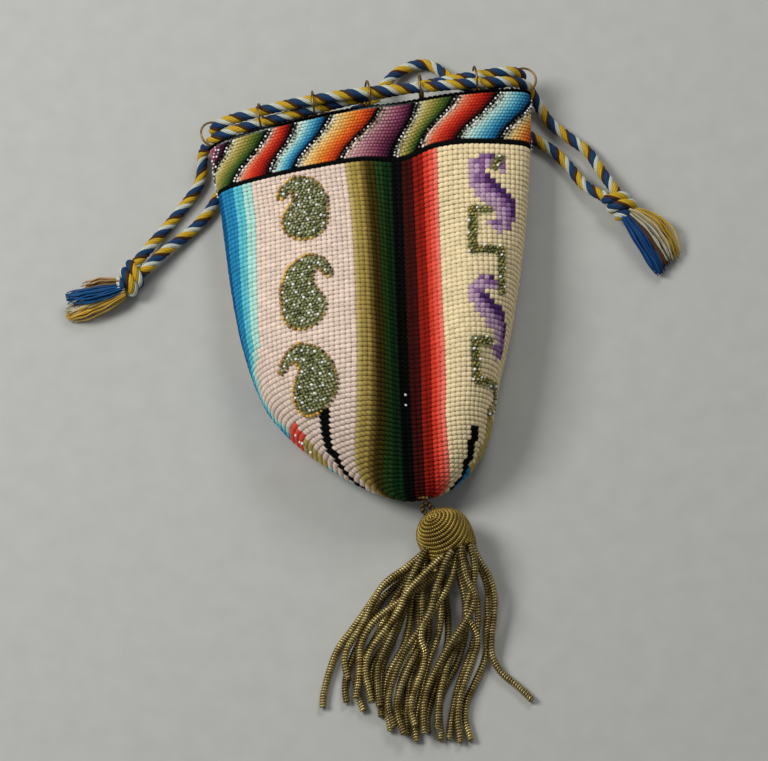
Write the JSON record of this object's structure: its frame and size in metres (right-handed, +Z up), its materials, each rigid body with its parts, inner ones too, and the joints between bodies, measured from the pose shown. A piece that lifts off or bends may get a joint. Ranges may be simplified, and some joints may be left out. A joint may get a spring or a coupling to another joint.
{
  "type": "drawstring reticule",
  "caption": "Crocheted, lined drawstring pouch with brass mouth rings, twisted cords knotted into tufts, and a bullion tassel on a thread loop; carries small things.",
  "frame": {"origin": "a point on the flat of the pouch's back, where it lies on the table", "axes": "+X to the right seen from above, +Y from the tassel to the mouth, +Z up from the table"},
  "size_m": [0.269, 0.3144, 0.0505],
  "materials": {
    "crochet": "matt crocheted wool with glass beads",
    "silk": "soft sheen",
    "ring": "dull, aged",
    "cord": "matt twisted cotton",
    "gilt_thread": "tarnished gilt thread",
    "bullion": "tarnished gilt wire"
  },
  "bodies": {
    "bag": {"pouch": "crochet", "lining": "silk", "ring_right": "ring", "ring_back_1": "ring", "ring_back_2": "ring", "ring_back_3": "ring", "ring_back_4": "ring", "ring_back_5": "ring", "ring_left": "ring", "ring_front_1": "ring", "ring_front_2": "ring", "ring_front_3": "ring", "ring_front_4": "ring", "ring_front_5": "ring", "cord_left": "cord", "cord_right": "cord", "knot_left": "cord", "knot_right": "cord", "tuft_left": "cord", "tuft_right": "cord"},
    "tassel_link": {"tassel_loop": "gilt_thread"},
    "tassel": {"tassel_head": "gilt_thread", "strand_01": "bullion", "strand_02": "bullion", "strand_03": "bullion", "strand_04": "bullion", "strand_05": "bullion", "strand_06": "bullion", "strand_07": "bullion", "strand_08": "bullion", "strand_09": "bullion", "strand_10": "bullion", "strand_11": "bullion", "strand_12": "bullion", "strand_13": "bullion", "strand_14": "bullion", "strand_15": "bullion", "strand_16": "bullion", "strand_17": "bullion", "strand_18": "bullion", "strand_19": "bullion", "strand_20": "bullion", "strand_21": "bullion", "strand_22": "bullion", "strand_23": "bullion", "strand_24": "bullion"}
  },
  "joints": [
    {"name": "tassel_swing", "type": "hinge", "parent": "bag", "child": "tassel_link", "pos_m": [0.00705, -0.09695, 0.01323], "axis": [0, 0, 1], "range_deg": [-70, 15]},
    {"name": "tassel_lift", "type": "hinge", "parent": "tassel_link", "child": "tassel", "pos_m": [0.01031, -0.10162, 0.012], "axis": [-0.9359, -0.3523, 0], "range_deg": [0, 35]}
  ]
}
